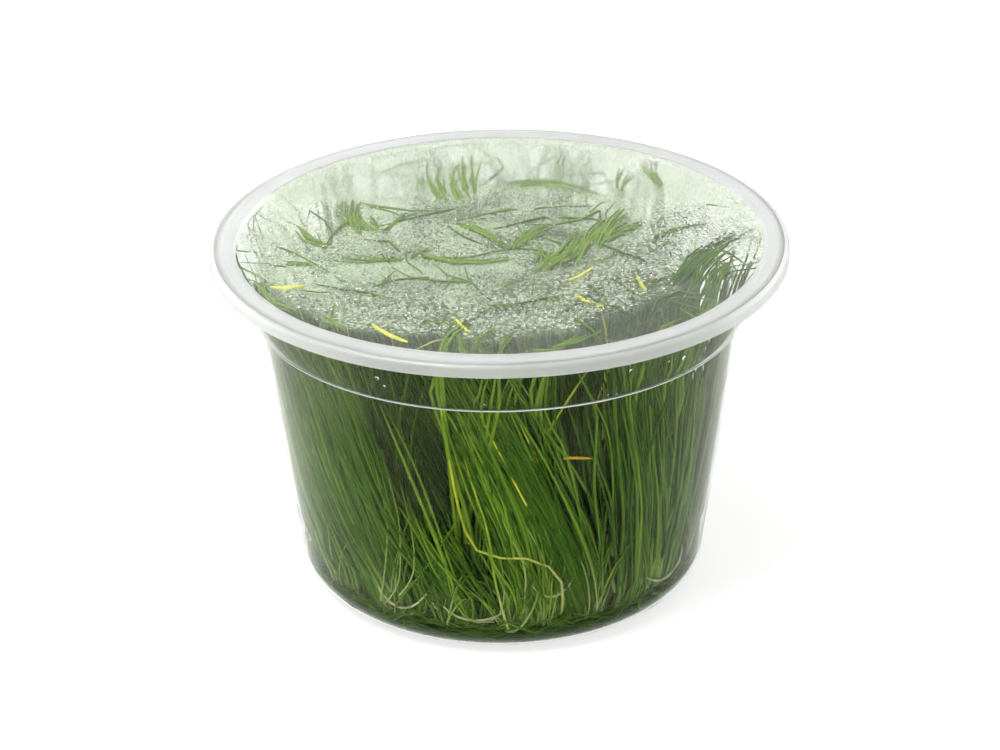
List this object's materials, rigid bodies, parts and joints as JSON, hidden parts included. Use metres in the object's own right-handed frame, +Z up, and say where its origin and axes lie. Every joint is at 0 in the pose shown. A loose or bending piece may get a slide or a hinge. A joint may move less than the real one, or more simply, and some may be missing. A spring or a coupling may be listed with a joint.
{
  "type": "dwarf hairgrass in a tissue-culture cup",
  "caption": "Fine grassy aquarium plantlets on culture gel in a clear tapered round cup with a wide flat rim and a sealed clear film lid.",
  "frame": {"origin": "centre of the cup's flat base, on the surface it stands on", "axes": "+Z up along the cup's axis; -Y towards the side that the picture shows in front"},
  "size_m": [0.1, 0.1, 0.063],
  "materials": {
    "clear_plastic": "clear, slightly milky polypropylene, milkier on the flat rim",
    "clear_film": "thin clear sealing film, beaded with condensation underneath",
    "gel": "clear, faintly olive culture gel",
    "leaf": "fine fresh green blades, deep to lime green, satin",
    "runner": "pale whitish green stems, satin",
    "straw": "yellowed dry blade ends, satin"
  },
  "bodies": {
    "root": {"cup": "clear_plastic", "film_lid": "clear_film", "nutrient_gel": "gel", "tuft_01": "leaf", "tuft_02": "leaf", "tuft_03": "leaf", "tuft_04": "leaf", "tuft_05": "leaf", "tuft_06": "leaf", "tuft_07": "leaf", "tuft_08": "leaf", "tuft_09": "leaf", "tuft_10": "leaf", "tuft_11": "leaf", "tuft_12": "leaf", "tuft_13": "leaf", "tuft_14": "leaf", "tuft_15": "leaf", "tuft_16": "leaf", "tuft_17": "leaf", "tuft_18": "leaf", "tuft_19": "leaf", "tuft_20": "leaf", "tuft_21": "leaf", "tuft_22": "leaf", "tuft_23": "leaf", "tuft_24": "leaf", "tuft_25": "leaf", "tuft_26": "leaf", "tuft_27": "leaf", "tuft_28": "leaf", "tuft_29": "leaf", "tuft_30": "leaf", "tuft_31": "leaf", "tuft_32": "leaf", "runner_01": "runner", "runner_02": "runner", "runner_03": "runner", "runner_04": "runner", "runner_05": "runner", "runner_06": "runner", "runner_07": "runner", "runner_08": "runner", "blade_scrap_01": "straw", "blade_scrap_02": "straw", "blade_scrap_03": "straw", "blade_scrap_04": "straw", "blade_scrap_05": "straw", "blade_scrap_06": "straw"}
  },
  "joints": []
}
